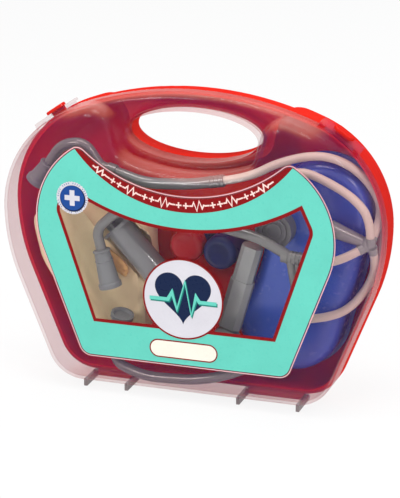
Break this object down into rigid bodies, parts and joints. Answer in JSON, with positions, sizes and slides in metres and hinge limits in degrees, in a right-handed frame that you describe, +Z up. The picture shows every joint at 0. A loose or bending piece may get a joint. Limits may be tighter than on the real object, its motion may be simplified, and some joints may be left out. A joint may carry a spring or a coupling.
{
  "type": "toy doctor case",
  "caption": "Toy doctor case: a moulded red back and a clear front on hinge pins, with a carrying handle, snap catches, a printed label and play instruments packed inside.",
  "frame": {"origin": "under the middle of the handle, on the parting plane between the two shells, at the level of the feet", "axes": "+X along the handle, +Y from the labelled front to the back, +Z up"},
  "size_m": [0.2724, 0.064, 0.2186],
  "materials": {
    "red_shell": "glossy",
    "clear_shell": "clear moulded plastic",
    "print": "printed film",
    "steel": "satin",
    "grey_plastic": "silvery",
    "soft_tip": "soft",
    "hose": "soft",
    "blue_plastic": "satin",
    "syringe_body": "milky",
    "syringe_plunger": "satin",
    "black_rubber": "soft",
    "red_plastic": "satin",
    "navy_plastic": "glossy",
    "dome": "clear",
    "cloth": "woven"
  },
  "bodies": {
    "case_back": {"back_shell": "red_shell", "left_hinge_pin": "steel", "right_hinge_pin": "steel", "headset": "grey_plastic", "upper_ear_tip": "soft_tip", "lower_ear_tip": "soft_tip", "headset_hose": "hose", "tee_connector": "grey_plastic", "bell_hose": "hose", "bell_arm": "grey_plastic", "bell_joint": "grey_plastic", "bell_hook": "grey_plastic", "bell_tip": "soft_tip", "gauge_hose": "hose", "pressure_gauge": "grey_plastic", "plug_hose": "hose", "hose_plug": "grey_plastic", "kidney_dish": "blue_plastic", "syringe_barrel": "syringe_body", "red_jar": "red_plastic", "red_jar_lid": "red_plastic", "navy_jar": "navy_plastic", "navy_jar_lid": "navy_plastic", "navy_jar_dome": "dome", "scope_handle": "grey_plastic", "scope_head": "grey_plastic", "scope_cone": "grey_plastic", "bandage_pack": "cloth"},
    "lid": {"front_shell": "clear_shell", "label_print": "print"},
    "plunger": {"syringe_plunger": "syringe_plunger", "syringe_seal": "black_rubber"}
  },
  "joints": [
    {"name": "lid_hinge", "type": "hinge", "parent": "case_back", "child": "lid", "pos_m": [0, 0, 0.0026], "axis": [1, 0, 0], "range_deg": [0, 180]},
    {"name": "plunger_slide", "type": "slide", "parent": "case_back", "child": "plunger", "axis": [-0.6749, 0, 0.7379], "range_m": [0, 0.03]}
  ]
}
